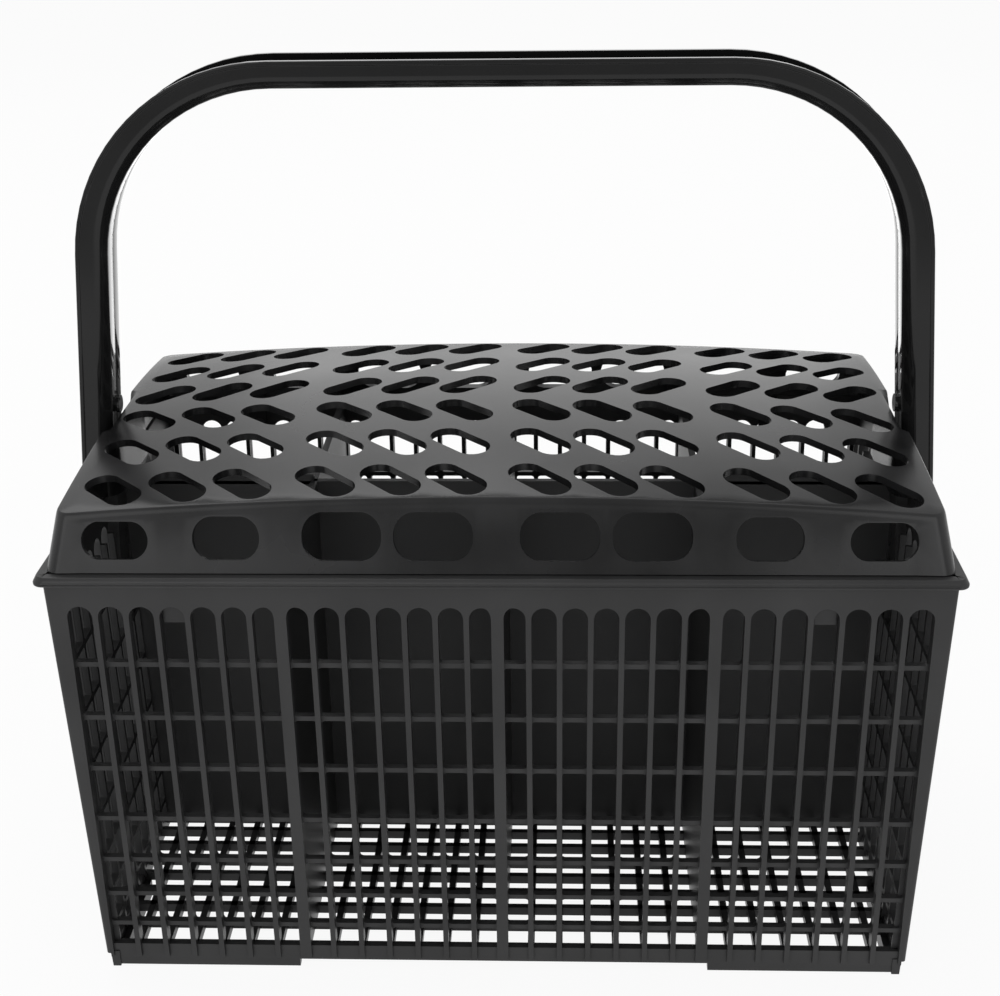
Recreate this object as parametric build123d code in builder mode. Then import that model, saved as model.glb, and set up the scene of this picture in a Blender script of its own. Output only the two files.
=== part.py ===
"""Dishwasher cutlery basket: a grid basket, a slotted press-on lid and an arched carrying handle.

Millimetres, +Z up. The origin is under the middle of the basket at the feet, +X runs along the long
side and -Y is the front. The walls lean outwards going up, so their sizes are given at the rim.
"""

import os
from math import cos, radians, sqrt, tan

from build123d import *

# Basket walls
wall_width = 233.4
wall_depth = 141.0
wall_height = 124.0
side_draft = 1.6
front_draft = 2.0
corner_radius = 1.5
rib_depth = 2.2
bar_depth = 2.0

# Wall grid: windows in bays, with a wide rib where an inner wall meets the outer wall
long_bays = 4
bay_windows = 7
side_bays = 2
side_bay_windows = 8
corner_post = 4.7
end_post = 6.5
rib_width = 1.45
wide_rib = 3.0
band_height = 6.9
bar_height = 1.4
first_row = 41.2
row_pitch = 32.9
least_row = 12.0

# Rim, floor, inner walls and feet
rim_overhang = 2.3
rim_thickness = 2.4
rim_radius = 3.0
floor_top = 9.2
floor_thickness = 2.0
floor_margin = 1.0
floor_rows = 1
inner_wall = 2.0
foot_height = 4.0
foot_width = 2.2
foot_inset = 0.8
foot_reach = 34.0

# Lid
fit_gap = 0.3
lid_inset = 0.6
lid_wall = 2.0
lid_side_lean = 11.3
lid_front_lean = 17.6
lid_corner = 4.0
crown_rise = 23.6
crown_radius_long = 1560.0
crown_radius_short = 450.0
slot_length = 19.2
slot_width = 9.5
slot_slant = 45.0
slots_per_bay = 3
slot_bay_tuck = 0.5
slot_bay_web = 4.65
slot_rows = 6
slot_edge = 4.65
skirt_hole_level = 9.1
skirt_hole_corner = 4.0
inner_hole_width = 20.4
inner_hole_height = 13.6
inner_hole_spread = 11.7
outer_hole_width = 17.2
outer_hole_height = 10.8
outer_hole_spread = 14.3
pocket_length = 36.0
pocket_corner = 4.0
tongue_width = 6.0
tongue_thickness = 1.8
tongue_drop = 12.4

# Handle
handle_rise = 119.0
handle_depth = 17.0
handle_bar = 7.6
handle_bend = 56.0
handle_inner_bend = 48.0
handle_edge = 1.6
channel_wall = 2.0
leg_proud = 5.7
leg_sink = 2.8
leg_lean = 4.42
leg_bend = 40.0
leg_drop = 32.0
leg_rounding = 6.0
lug_drop = 16.0
lug_radius = 4.5
lug_length = 2.8
lug_sides = 8
nub_rise = 24.4
nub_radius = 2.4
nub_length = 1.2
seat_drop = 40.0
seat_wall = 2.4
seat_cheek = 4.5

# Places that follow from the sizes above
rim_top = wall_height + rim_thickness
bay_length = (wall_width - 2 * corner_post) / long_bays
window_pitch = bay_length / bay_windows
side_bay_length = (wall_depth - 2 * end_post) / side_bays
side_pitch = side_bay_length / side_bay_windows
band_bottom = wall_height - band_height
floor_bottom = floor_top - floor_thickness
lid_bottom = rim_top + fit_gap
crown_top = rim_top + crown_rise
handle_top = rim_top + handle_rise
handle_foot = wall_height - leg_drop
leg_slope = tan(radians(leg_lean))
lug_level = wall_height - lug_drop
nub_level = rim_top + nub_rise
seat_bottom = wall_height - seat_drop
slot_bay_pitch = bay_length - slot_bay_tuck
slot_pitch = (slot_bay_pitch - slot_bay_web) / slots_per_bay
slot_row_pitch = (wall_depth - 2 * lid_inset - 2 * slot_edge) / slot_rows
bar_bottom = handle_top - handle_bar
web_top = bar_bottom + channel_wall
channel_foot = handle_foot + 2 * channel_wall
leg_outside = wall_width / 2 + leg_proud
leg_outside_top = leg_outside - leg_slope * (handle_top - wall_height)
beyond = wall_width


def wall_size(height, inset=0.0):
    """Length and depth of the leaning walls at a height, measured in from their outer faces."""
    drop = wall_height - height
    return (
        wall_width - 2 * (drop * tan(radians(side_draft)) + inset),
        wall_depth - 2 * (drop * tan(radians(front_draft)) + inset),
    )


def lid_size(height, inset=0.0):
    """Length and depth of the lid's leaning skirt at a height, measured in from its outer face."""
    rise = height - lid_bottom
    return (
        wall_width - 2 * (lid_inset + rise * tan(radians(lid_side_lean)) + inset),
        wall_depth - 2 * (lid_inset + rise * tan(radians(lid_front_lean)) + inset),
    )


def leg_half(height):
    """Distance of the handle leg's inner face from the middle at a height."""
    return wall_width / 2 - leg_sink - leg_slope * (height - wall_height)


def web_half(height):
    """Distance of the channel's floor from the middle at a height, one wall outside the inner face."""
    return leg_half(height) + channel_wall / cos(radians(leg_lean))


def bar_levels():
    """Lower edges of the horizontal wall bars, up from the floor as far as the top row allows."""
    level = floor_top + first_row
    while level + bar_height + least_row < band_bottom:
        yield level
        level += row_pitch


def wall_windows(bays, per_bay, pitch):
    """Tall windows of one wall, drawn upright, less the wide ribs between bays."""
    with Locations((0, (floor_top + band_bottom) / 2)):
        with GridLocations(pitch, 0, bays * per_bay, 1):
            Rectangle(pitch - rib_width, band_bottom - floor_top)
        with GridLocations(pitch * per_bay, 0, bays - 1, 1):
            Rectangle(wide_rib, band_bottom - floor_top, mode=Mode.SUBTRACT)


def tapered_box(size, bottom, top, inset=0.0):
    """Box with leaning sides between two heights, whose length and depth a size function gives."""
    with BuildPart() as form:
        for plane, side, mode in ((Plane.XZ, 0, Mode.ADD), (Plane.YZ, 1, Mode.INTERSECT)):
            low = size(bottom, inset)[side] / 2
            high = size(top, inset)[side] / 2
            with BuildSketch(plane):
                Polygon((-low, bottom), (low, bottom), (high, top), (-high, top), align=None)
            extrude(amount=beyond, both=True, mode=mode)
    return form.part


def upright_edges(part):
    """The four leaning corner edges of a tapered box."""
    return part.edges().filter_by(lambda edge: abs(edge.tangent_at(0).Z) > 0.7)


# Outer walls of upright ribs, leaning outwards to the rim
with BuildPart() as ribs:
    add(tapered_box(wall_size, foot_height, rim_top))
    fillet(upright_edges(ribs), corner_radius)
    add(tapered_box(wall_size, foot_height, rim_top, rib_depth), mode=Mode.SUBTRACT)
    with BuildSketch(Plane.XZ):
        wall_windows(long_bays, bay_windows, window_pitch)
    extrude(amount=beyond, both=True, mode=Mode.SUBTRACT)
    with BuildSketch(Plane.YZ):
        wall_windows(side_bays, side_bay_windows, side_pitch)
    extrude(amount=beyond, both=True, mode=Mode.SUBTRACT)

# Horizontal bars behind the ribs, one hoop at each level
with BuildPart() as hoops:
    add(tapered_box(wall_size, foot_height, rim_top, rib_depth))
    add(tapered_box(wall_size, foot_height, rim_top, rib_depth + bar_depth), mode=Mode.SUBTRACT)
    with BuildSketch(Plane.YZ):
        for level in bar_levels():
            with Locations((0, level + bar_height / 2)):
                Rectangle(beyond, bar_height)
    extrude(amount=beyond, both=True, mode=Mode.INTERSECT)

# Floor grid, inner walls, rim, feet and handle seats, which carry the ribs
with BuildPart() as frame:
    add(hoops.part)

    # Floor bars under the ribs, with a few across them and a border along the walls
    with BuildSketch(Plane.XY.offset(floor_bottom)):
        floor_size = wall_size(floor_bottom, rib_depth / 2)
        Rectangle(*floor_size)
        Rectangle(*wall_size(floor_bottom, rib_depth + floor_margin), mode=Mode.SUBTRACT)
        with GridLocations(window_pitch, 0, long_bays * bay_windows - 1, 1):
            Rectangle(rib_width, floor_size[1])
        with GridLocations(0, side_bay_length / floor_rows, 1, side_bays * floor_rows - 1):
            Rectangle(floor_size[0], rib_width)
    extrude(amount=floor_thickness)

    # Inner walls that make the compartments
    for plane, side, places in (
        (Plane.XZ, 0, [0.0]),
        (Plane.YZ, 1, [(i + 1 - long_bays / 2) * bay_length for i in range(long_bays - 1)]),
    ):
        for place in places:
            with BuildSketch(plane.offset(place)):
                low = wall_size(floor_bottom, rib_depth / 2)[side] / 2
                high = wall_size(wall_height, rib_depth / 2)[side] / 2
                Polygon(
                    (-low, floor_bottom), (low, floor_bottom), (high, wall_height), (-high, wall_height),
                    align=None,
                )
            extrude(amount=inner_wall / 2, both=True)

    # Rim flange
    with BuildSketch(Plane.XY.offset(wall_height)):
        RectangleRounded(wall_width + 2 * rim_overhang, wall_depth + 2 * rim_overhang, rim_radius)
        Rectangle(*wall_size(rim_top, rib_depth), mode=Mode.SUBTRACT)
    extrude(amount=rim_thickness)

    # Foot strips under the outer bays, with a return along each side
    with BuildSketch():
        Rectangle(*wall_size(foot_height, foot_inset))
        Rectangle(*wall_size(foot_height, foot_inset + foot_width), mode=Mode.SUBTRACT)
        Rectangle(2 * bay_length, beyond, mode=Mode.SUBTRACT)
        Rectangle(2 * beyond, wall_size(foot_height)[1] - 2 * foot_reach, mode=Mode.SUBTRACT)
    extrude(amount=floor_bottom)

    # Solid seats for the handle legs
    with BuildSketch(Plane.XZ):
        Polygon(
            (wall_size(seat_bottom)[0] / 2, seat_bottom),
            (wall_size(rim_top)[0] / 2, rim_top),
            (leg_half(rim_top) - fit_gap - seat_wall, rim_top),
            (wall_size(seat_bottom, rib_depth)[0] / 2, seat_bottom),
            align=None,
        )
        mirror(about=Plane.YZ)
    extrude(amount=handle_depth / 2 + seat_cheek, both=True)

# Notches in the rim and seats that the legs slide into, and holes for their lugs
with BuildPart() as notches:
    with BuildSketch(Plane.XZ):
        Polygon(
            (leg_half(seat_bottom) - fit_gap, seat_bottom),
            (leg_half(rim_top + rim_thickness) - fit_gap, rim_top + rim_thickness),
            (beyond, rim_top + rim_thickness),
            (beyond, seat_bottom),
            align=None,
        )
        mirror(about=Plane.YZ)
    extrude(amount=handle_depth / 2 + fit_gap, both=True)
    for way in (-1, 1):
        with BuildSketch(Plane.YZ.offset(way * (leg_half(lug_level) - lug_length - 2 * fit_gap))):
            with Locations((0, lug_level)):
                RegularPolygon(lug_radius + fit_gap, lug_sides)
        extrude(amount=way * wall_depth / 2)

# Basket, one moulding
with BuildPart() as basket:
    add(frame.part)
    add(ribs.part)
    add(notches.part, mode=Mode.SUBTRACT)


def crown_drop(place, radius):
    """How far an arc of the lid's top has dropped at a distance from its middle."""
    return radius - sqrt(radius**2 - place**2)


def crown(inset):
    """Body under the lid's crowned top, measured in from its outer face: a flat panel to each bay and row."""
    bay_joins = [(i + 1 - long_bays / 2) * slot_bay_pitch for i in range(long_bays - 1)]
    row_joins = [(i + 1 - slot_rows / 2) * slot_row_pitch for i in range(slot_rows - 1)]
    bays = [-wall_width / 2, *bay_joins, wall_width / 2]
    rows = [-wall_depth / 2, *row_joins, wall_depth / 2]
    with BuildPart() as form:
        for start, end in zip(bays, bays[1:]):
            ridge = crown_top - inset - crown_drop(start, crown_radius_long)
            slope = crown_drop(start, crown_radius_long) - crown_drop(end, crown_radius_long)
            with BuildSketch(Plane.YZ.offset(start)):
                arch = [(row, ridge - crown_drop(row, crown_radius_short)) for row in rows]
                Polygon(*arch, (rows[-1], lid_bottom - crown_rise), (rows[0], lid_bottom - crown_rise), align=None)
            extrude(amount=sqrt((end - start) ** 2 + slope**2), dir=(end - start, 0, slope))
    return form.part


def lid_form(inset):
    """The lid's whole body, measured in from its outer face, with recesses for the handle legs."""
    with BuildPart() as form:
        add(tapered_box(lid_size, lid_bottom, crown_top, inset))
        fillet(upright_edges(form), lid_corner - inset)
        add(crown(inset), mode=Mode.INTERSECT)
        pocket_face = leg_half(nub_level) - nub_length - fit_gap - inset
        with BuildSketch(Plane.XY.offset(lid_bottom)) as pockets:
            with Locations((pocket_face + wall_width / 2, 0)):
                Rectangle(wall_width, pocket_length + 2 * inset)
            chamfer(pockets.vertices(), pocket_corner + (2 - sqrt(2)) * inset)
            mirror(about=Plane.YZ)
        extrude(amount=crown_rise, mode=Mode.SUBTRACT)
    return form.part


# Outlines of the lid's openings: a slot with octagonal ends, and two sizes of skirt opening
with BuildSketch() as slot:
    Rectangle(slot_length, slot_width)
    chamfer(slot.vertices(), slot_width / (2 + sqrt(2)))
with BuildSketch() as inner_hole:
    Rectangle(inner_hole_width, inner_hole_height)
    chamfer(inner_hole.vertices(), skirt_hole_corner)
with BuildSketch() as outer_hole:
    Rectangle(outer_hole_width, outer_hole_height)
    chamfer(outer_hole.vertices(), skirt_hole_corner)

# Lid: a crowned shell with slanted slots in its top and openings along its front and rear skirts
with BuildPart() as lid:
    add(lid_form(0.0))
    add(lid_form(lid_wall), mode=Mode.SUBTRACT)

    # Slanted slots, a few to each bay, leaning the other way in the rear half
    for half, slant in ((-1, 180 - slot_slant), (1, slot_slant)):
        with BuildSketch(Plane.XY.offset(lid_bottom)):
            with Locations((0, half * slot_row_pitch * slot_rows / 4)):
                with GridLocations(slot_bay_pitch, slot_row_pitch, long_bays, slot_rows // 2):
                    with GridLocations(slot_pitch, slot_row_pitch, slots_per_bay, 1):
                        add(slot.sketch, rotation=slant)
        extrude(amount=2 * crown_rise, mode=Mode.SUBTRACT)

    # Skirt openings, two to each bay
    with BuildSketch(Plane.XZ):
        for bay, spread, outline in (
            (0.5, inner_hole_spread, inner_hole),
            (1.5, outer_hole_spread, outer_hole),
        ):
            for way in (-1, 1):
                with Locations((way * bay * slot_bay_pitch, lid_bottom + skirt_hole_level)):
                    with GridLocations(2 * spread, 0, 2, 1):
                        add(outline.sketch)
    extrude(amount=beyond, both=True, mode=Mode.SUBTRACT)

    # Tongues that hang inside the front and rear walls and hold the lid in place
    tongue_face = wall_size(wall_height - tongue_drop, rib_depth + fit_gap)[1] / 2
    tongue_root = lid_bottom + (lid_size(lid_bottom, fit_gap)[1] / 2 - tongue_face) / tan(radians(lid_front_lean))
    with BuildSketch(Plane.XY.offset(wall_height - tongue_drop)):
        with GridLocations(3 * bay_length, 2 * tongue_face - tongue_thickness, 2, 2):
            Rectangle(tongue_width, tongue_thickness)
    extrude(amount=tongue_root - (wall_height - tongue_drop))

# Handle: an arched channel, open outwards, with rounded edges towards the hand
with BuildPart() as handle:
    with BuildSketch(Plane.XZ):
        with BuildLine():
            outside = FilletPolyline(
                (-leg_outside, handle_foot),
                (-leg_outside, wall_height),
                (-leg_outside_top, handle_top),
                (leg_outside_top, handle_top),
                (leg_outside, wall_height),
                (leg_outside, handle_foot),
                radius=[leg_bend, handle_bend, handle_bend, leg_bend],
            )
            inside = FilletPolyline(
                (-leg_half(handle_foot), handle_foot),
                (-leg_half(bar_bottom), bar_bottom),
                (leg_half(bar_bottom), bar_bottom),
                (leg_half(handle_foot), handle_foot),
                radius=handle_inner_bend,
            )
            Line(outside @ 0, inside @ 0)
            Line(outside @ 1, inside @ 1)
        make_face()
    extrude(amount=handle_depth / 2, both=True)
    foot_edges = handle.edges().filter_by_position(Axis.Z, handle_foot, handle_foot)
    fillet(foot_edges.filter_by(lambda edge: abs(edge.center().Y) > handle_depth / 4), leg_rounding)
    loop_middle = Vector(0, 0, (rim_top + handle_top) / 2)
    loop_faces = handle.faces().filter_by(
        lambda face: abs(face.normal_at().Y) < 0.5 and face.normal_at().dot(loop_middle - face.center()) > 0
    )
    chamfer(loop_faces.edges().filter_by(lambda edge: abs(edge.center().Y) > handle_depth / 4), handle_edge)

    # Channel between the two flanges, closed at the feet
    with BuildSketch(Plane.XZ):
        with BuildLine():
            web = FilletPolyline(
                (-web_half(channel_foot), channel_foot),
                (-web_half(web_top), web_top),
                (web_half(web_top), web_top),
                (web_half(channel_foot), channel_foot),
                radius=handle_inner_bend + channel_wall,
            )
            Polyline(
                web @ 0,
                (-beyond, channel_foot),
                (-beyond, handle_top + channel_wall),
                (beyond, handle_top + channel_wall),
                (beyond, channel_foot),
                web @ 1,
            )
        make_face()
    extrude(amount=handle_depth / 2 - channel_wall, both=True, mode=Mode.SUBTRACT)

    # Lugs that snap into the seats, and small nubs that keep the lid down
    for level, radius, length in (
        (lug_level, lug_radius, lug_length),
        (nub_level, nub_radius, nub_length),
    ):
        for way in (-1, 1):
            with BuildSketch(Plane.YZ.offset(way * (leg_half(level) - length))):
                with Locations((0, level)):
                    RegularPolygon(radius, lug_sides)
            extrude(amount=way * (length + channel_wall / 2))

os.makedirs("parts", exist_ok=True)
for piece, name in ((basket, "basket"), (lid, "lid"), (handle, "handle")):
    piece.part.label = name
    export_step(piece.part, f"parts/{name}.step")
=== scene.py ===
"""Dishwasher cutlery basket: grid basket, slotted lid and arched handle, dressed for a studio picture.

Metres, +Z up. The front faces -Y, +X runs along the long side and the feet stand on z = 0.
"""

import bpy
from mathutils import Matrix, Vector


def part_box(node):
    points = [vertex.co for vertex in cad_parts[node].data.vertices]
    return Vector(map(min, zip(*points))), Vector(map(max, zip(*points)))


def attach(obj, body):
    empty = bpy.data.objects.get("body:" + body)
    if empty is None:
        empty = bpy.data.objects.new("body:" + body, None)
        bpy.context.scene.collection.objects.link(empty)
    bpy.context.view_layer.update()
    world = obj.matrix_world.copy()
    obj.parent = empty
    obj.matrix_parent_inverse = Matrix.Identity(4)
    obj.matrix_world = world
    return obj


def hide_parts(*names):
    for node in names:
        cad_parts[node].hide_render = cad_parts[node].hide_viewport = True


bl_info = {
    "name": "Cutlery Basket",
    "version": (1, 0, 0),
    "blender": (4, 5, 0),
    "location": "View3D > Sidebar > Basket",
    "description": "Builds a dishwasher cutlery basket with its lid, its handle and a studio stage",
    "category": "Add Mesh",
}

from math import copysign, cos, pi, radians, sin, sqrt, tan

import bmesh
import bpy
from bpy.props import FloatProperty, FloatVectorProperty, IntProperty, PointerProperty
from bpy.types import Operator, Panel, PropertyGroup
from mathutils import Matrix, Vector

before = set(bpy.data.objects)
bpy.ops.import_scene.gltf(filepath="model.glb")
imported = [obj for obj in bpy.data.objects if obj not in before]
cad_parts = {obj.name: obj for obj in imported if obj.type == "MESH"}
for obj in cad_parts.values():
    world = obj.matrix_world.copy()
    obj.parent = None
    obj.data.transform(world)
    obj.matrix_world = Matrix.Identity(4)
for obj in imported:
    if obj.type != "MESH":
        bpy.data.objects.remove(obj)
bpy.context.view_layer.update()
rim_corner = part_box("basket")[1]
lid_corner_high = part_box("lid")[1]
handle_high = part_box("handle")[1]
handle_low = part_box("handle")[0]

MERGE = 1e-6  # points that lie closer than this are one point
SIDES = (-1, 1)  # left and right, or front and rear
CORNERS = [(x_way, y_way) for x_way in SIDES for y_way in SIDES]
BAYS = 4  # along the basket and along the lid
LEG_CLEARANCE = 0.0003  # between a handle leg and the basket
WHITE = (1, 1, 1, 1)


# Property helpers


def length(name, description, default):
    """A length in metres."""
    return FloatProperty(name=name, description=description, default=default, unit="LENGTH", precision=5)


def angle(name, description, default):
    """An angle, given in degrees."""
    return FloatProperty(name=name, description=description, default=radians(default), subtype="ANGLE")


def count(name, description, default):
    """A whole number of copies."""
    return IntProperty(name=name, description=description, default=default, min=1)


def number(name, description, default):
    """A plain number."""
    return FloatProperty(name=name, description=description, default=default)


def power(name, description, default):
    """The power of a lamp in watts."""
    return FloatProperty(name=name, description=description, default=default, unit="POWER")


def colour(name, description, default):
    """A linear colour."""
    return FloatVectorProperty(
        name=name, description=description, default=default, subtype="COLOR", size=3, min=0.0, max=1.0
    )


class BasketSizes(PropertyGroup):
    """Sizes of the grid basket, taken at the rim where the walls lean."""

    wall_width: length("Wall length", "Outer length of the walls under the rim", 0.2334)
    wall_depth: length("Wall depth", "Outer depth of the walls under the rim", 0.141)
    wall_height: length("Wall height", "Height of the underside of the rim", 0.124)
    side_draft: angle("Side lean", "Outward lean of the two short walls", 1.6)
    front_draft: angle("Front lean", "Outward lean of the two long walls", 2.0)
    pitch: length("Grid pitch", "Distance between neighbouring ribs", 0.008)
    long_windows: count("Long wall windows", "Windows along each long wall", 28)
    side_windows: count("Short wall windows", "Windows along each short wall", 16)
    rib_width: length("Rib width", "Width of an upright rib", 0.00145)
    rib_depth: length("Rib depth", "Depth of an upright rib", 0.0022)
    rib_foot: length("Rib foot", "Height at which the ribs end", 0.0028)
    wide_rib: length("Wide rib", "Width of a rib in front of an inner wall", 0.0032)
    arch_top: length("Arch top", "Height of the round tops of the windows", 0.1174)
    bar_height: length("Bar height", "Height of a horizontal bar", 0.0014)
    bar_depth: length("Bar depth", "Depth of a horizontal bar behind the ribs", 0.002)
    window_corner: length("Window corner", "Radius of the corners between bars and ribs", 0.0009)
    floor_top: length("Floor top", "Height of the upper side of the floor grid", 0.0077)
    floor_thickness: length("Floor thickness", "Thickness of the floor grid", 0.0026)
    floor_bar: length("Floor bar", "Width of a floor bar", 0.0019)
    floor_pitch: length("Floor pitch", "Distance between the floor bars that run along the basket", 0.0077)
    inner_wall: length("Inner wall", "Thickness of the compartment walls", 0.002)
    rim_bead: length("Rim bead", "Height of the upright bead along the lower edge of the rim", 0.0008)
    rim_slope: length("Rim slope", "How far the rim leans in above its bead", 0.0008)
    rail_inset: length("Rail inset", "How far the bottom rail lies behind the faces of the ribs", 0.0009)
    edge: length("Edge rounding", "Rounding along the moulded edges", 0.0003)


class LidSizes(PropertyGroup):
    """Sizes of the crowned lid, taken at the foot of its skirt."""

    bottom: length("Skirt foot", "Height of the lower edge of the skirt", 0.1267)
    half_width: length("Half length", "Half of the skirt's length at its foot", 0.1161)
    half_depth: length("Half depth", "Half of the skirt's depth at its foot", 0.0699)
    side_lean: angle("Side lean", "Inward lean of the skirt's short sides", 11.3)
    front_lean: angle("Front lean", "Inward lean of the skirt's long sides", 17.6)
    corner: length("Corner radius", "Radius of the four upright corners", 0.004)
    wall: length("Wall", "Thickness of the shell", 0.002)
    long_radius: length("Long crown radius", "Radius of the top along the lid", 1.56)
    short_radius: length("Short crown radius", "Radius of the top across the lid", 0.45)
    slot_length: length("Slot length", "Length of a slot over its round ends", 0.0194)
    slot_width: length("Slot width", "Width of a slot", 0.0096)
    bay_pitch: length("Bay pitch", "Distance between neighbouring groups of slots", 0.05555)
    bay_web: length("Bay web", "Width of the plain strip between groups of slots", 0.00465)
    row_pitch: length("Row pitch", "Distance between neighbouring rows of slots", 0.02175)
    edge_depth: length("Slot field edge", "Distance of the outer rows' border from the middle", 0.0631)
    edge_round: length("Edge rounding", "Reach of the rounded edge over the top", 0.0005)
    edge_drop: length("Edge drop", "Reach of the rounded edge down the skirt", 0.0017)
    panel_step: length("Panel step", "How far the front and rear panels lie behind their upper edge", 0.00024)
    pocket_half: length("Pocket half width", "Half of the width of a pocket for a handle leg", 0.018)
    pocket_corner: length("Pocket corner", "Radius of the corners of a pocket", 0.004)
    pocket_face: length("Pocket face", "Distance of a pocket's flat face from the middle", 0.11033)
    edge: length("Edge rounding of openings", "Rounding along the edges of the openings", 0.0006)


class HandleSizes(PropertyGroup):
    """Sizes of the arched channel handle."""

    depth: length("Depth", "Depth of the handle over its two flanges", 0.017)
    bar: length("Bar height", "Height of the top bar", 0.0076)
    outer_bend: length("Outer bend", "Radius of the outside of the bends", 0.056)
    inner_bend: length("Inner bend", "Radius of the inside of the bends", 0.048)
    lean: angle("Leg lean", "Inward lean of the legs", 4.42)
    leg_inside: length("Leg inside", "Distance of a leg's inner face from the middle at the rim", 0.1139)
    wall: length("Wall", "Thickness of the web and the flanges", 0.002)
    grip_reach: length("Grip reach", "Reach of the sloping edge towards the hand over a flange", 0.0023)
    grip_depth: length("Grip depth", "Reach of the sloping edge towards the hand over the web", 0.0027)
    bead: length("Bead", "Width of the raised bead along the edge of each flange", 0.0011)
    bead_rise: length("Bead rise", "How far the bead stands above the flange", 0.0002)
    foot_round: length("Foot rounding", "Rounding of the lower ends of the legs", 0.006)


class BasketFinish(PropertyGroup):
    """Colours of the three mouldings."""

    basket: colour("Basket colour", "Matt plastic of the grid basket", (0.034, 0.034, 0.0345))
    lid: colour("Lid colour", "Satin plastic of the lid", (0.0125, 0.0125, 0.013))
    handle: colour("Handle colour", "Glossy plastic of the handle", (0.0095, 0.0095, 0.0097))


class StageSettings(PropertyGroup):
    """Floor, light and camera."""

    floor_size: length("Floor size", "Length of the floor's sides", 6.0)
    floor_colour: colour("Floor colour", "Pale colour of the floor", (0.9, 0.9, 0.9))
    sky: number("Sky light", "Strength of the even light all round", 0.5)
    room: number("Room", "Brightness that gloss mirrors from the front", 0.52)
    key: power("Key light", "Power of the large light above", 7.0)
    fill: power("Fill light", "Power of the two lights at the front together", 4.6)
    back: power("Back light", "Power of the low light behind", 1.0)
    sweep: power("Sweep", "Power of the glow of the floor behind", 1.9)
    camera_place: FloatVectorProperty(
        name="Camera place",
        description="Where the camera stands",
        default=(0.0161, -0.45465, 0.31066),
        subtype="TRANSLATION",
        unit="LENGTH",
    )
    camera_yaw: angle("Camera turn", "Turn of the view to the left", 2.225)
    camera_pitch: angle("Camera tilt", "Tilt of the view downwards", 22.924)
    camera_roll: angle("Camera roll", "Roll of the picture", 0.801)
    lens: number("Lens", "Focal length in millimetres on a 36 mm frame", 60.545)


# Mesh helpers


def new_verts(result):
    """The vertices among the geometry that an operator made."""
    return [item for item in result["geom"] if isinstance(item, bmesh.types.BMVert)]


def new_faces(result):
    """The faces among the geometry that an operator made."""
    return [item for item in result["geom"] if isinstance(item, bmesh.types.BMFace)]


def pushed_edges(bm, edges):
    """Extrudes a chain of edges, and gives the new vertices and the new edges between them."""
    made = bmesh.ops.extrude_edge_only(bm, edges=edges)
    verts = set(new_verts(made))
    new_edges = [item for item in made["geom"] if isinstance(item, bmesh.types.BMEdge)]
    return verts, [edge for edge in new_edges if all(vert in verts for vert in edge.verts)]


def round_off(bm, geom, reach, steps, affect="EDGES"):
    """Rounds off edges or, with VERTICES, the corners of a flat face."""
    bmesh.ops.bevel(
        bm, geom=geom, offset=reach, offset_type="OFFSET", segments=steps, profile=0.5,
        affect=affect, material=-1,
    )


def join(bm, part):
    """Adds a finished bmesh to another one."""
    mesh = bpy.data.meshes.new("part")
    part.to_mesh(mesh)
    part.free()
    bm.from_mesh(mesh)
    bpy.data.meshes.remove(mesh)


def block(bm, x, y, z, x_top=None, y_top=None):
    """A six-sided bar from its spans along x, y and z, with other spans at its top where it leans."""
    for vert in bmesh.ops.create_cube(bm, size=1.0)["verts"]:
        high = vert.co.z > 0
        x_span = x_top if high and x_top else x
        y_span = y_top if high and y_top else y
        vert.co = (x_span[vert.co.x > 0], y_span[vert.co.y > 0], z[high])


def fill_outline(bm, verts):
    """Closes a ring of vertices with edges and one face."""
    edges = [bm.edges.get(pair) or bm.edges.new(pair) for pair in zip(verts, verts[1:] + verts[:1])]
    return bmesh.ops.contextual_create(bm, geom=edges)["faces"][0]


def prism(bm, outline, move):
    """A closed bar: an outline of points, pushed along a vector."""
    face = fill_outline(bm, [bm.verts.new(point) for point in outline])
    pushed = bmesh.ops.extrude_face_region(bm, geom=[face])
    bmesh.ops.translate(bm, verts=new_verts(pushed), vec=move)


def spans(middle, size):
    """The two ends of a span about its middle."""
    return middle - size / 2, middle + size / 2


def mirrored(half):
    """A span on both sides of the middle."""
    return -half, half


def on_side(way, near, far):
    """A span between two distances from the middle, on one side of it."""
    return sorted((way * near, way * far))


def finish_piece(bm, name, body, material, edge, steps, wall=0.0):
    """Makes a bmesh, closed or a skin with a wall, the moulding that stands for the CAD node of its name."""
    sharp = radians(32)
    mesh = bpy.data.meshes.new(name)
    bm.to_mesh(mesh)
    bm.free()
    mesh.shade_smooth()
    piece = bpy.data.objects.new(f"{name}_moulding", mesh)
    bpy.context.scene.collection.objects.link(piece)
    piece.data.materials.append(material)
    if wall:
        shell = piece.modifiers.new("wall", "SOLIDIFY")
        shell.thickness = wall
        shell.offset = -1.0
    rounding = piece.modifiers.new("edges", "BEVEL")
    rounding.width = edge
    rounding.segments = steps
    rounding.limit_method = "ANGLE"
    rounding.angle_limit = sharp
    rounding.harden_normals = True
    rounding.use_clamp_overlap = True
    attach(piece, body)
    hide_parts(name)


# Materials


def new_node(tree, kind, values=None):
    """Adds a shader node with some of its inputs set."""
    node = tree.nodes.new(kind)
    for name, value in (values or {}).items():
        node.inputs[name].default_value = value
    return node


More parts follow.
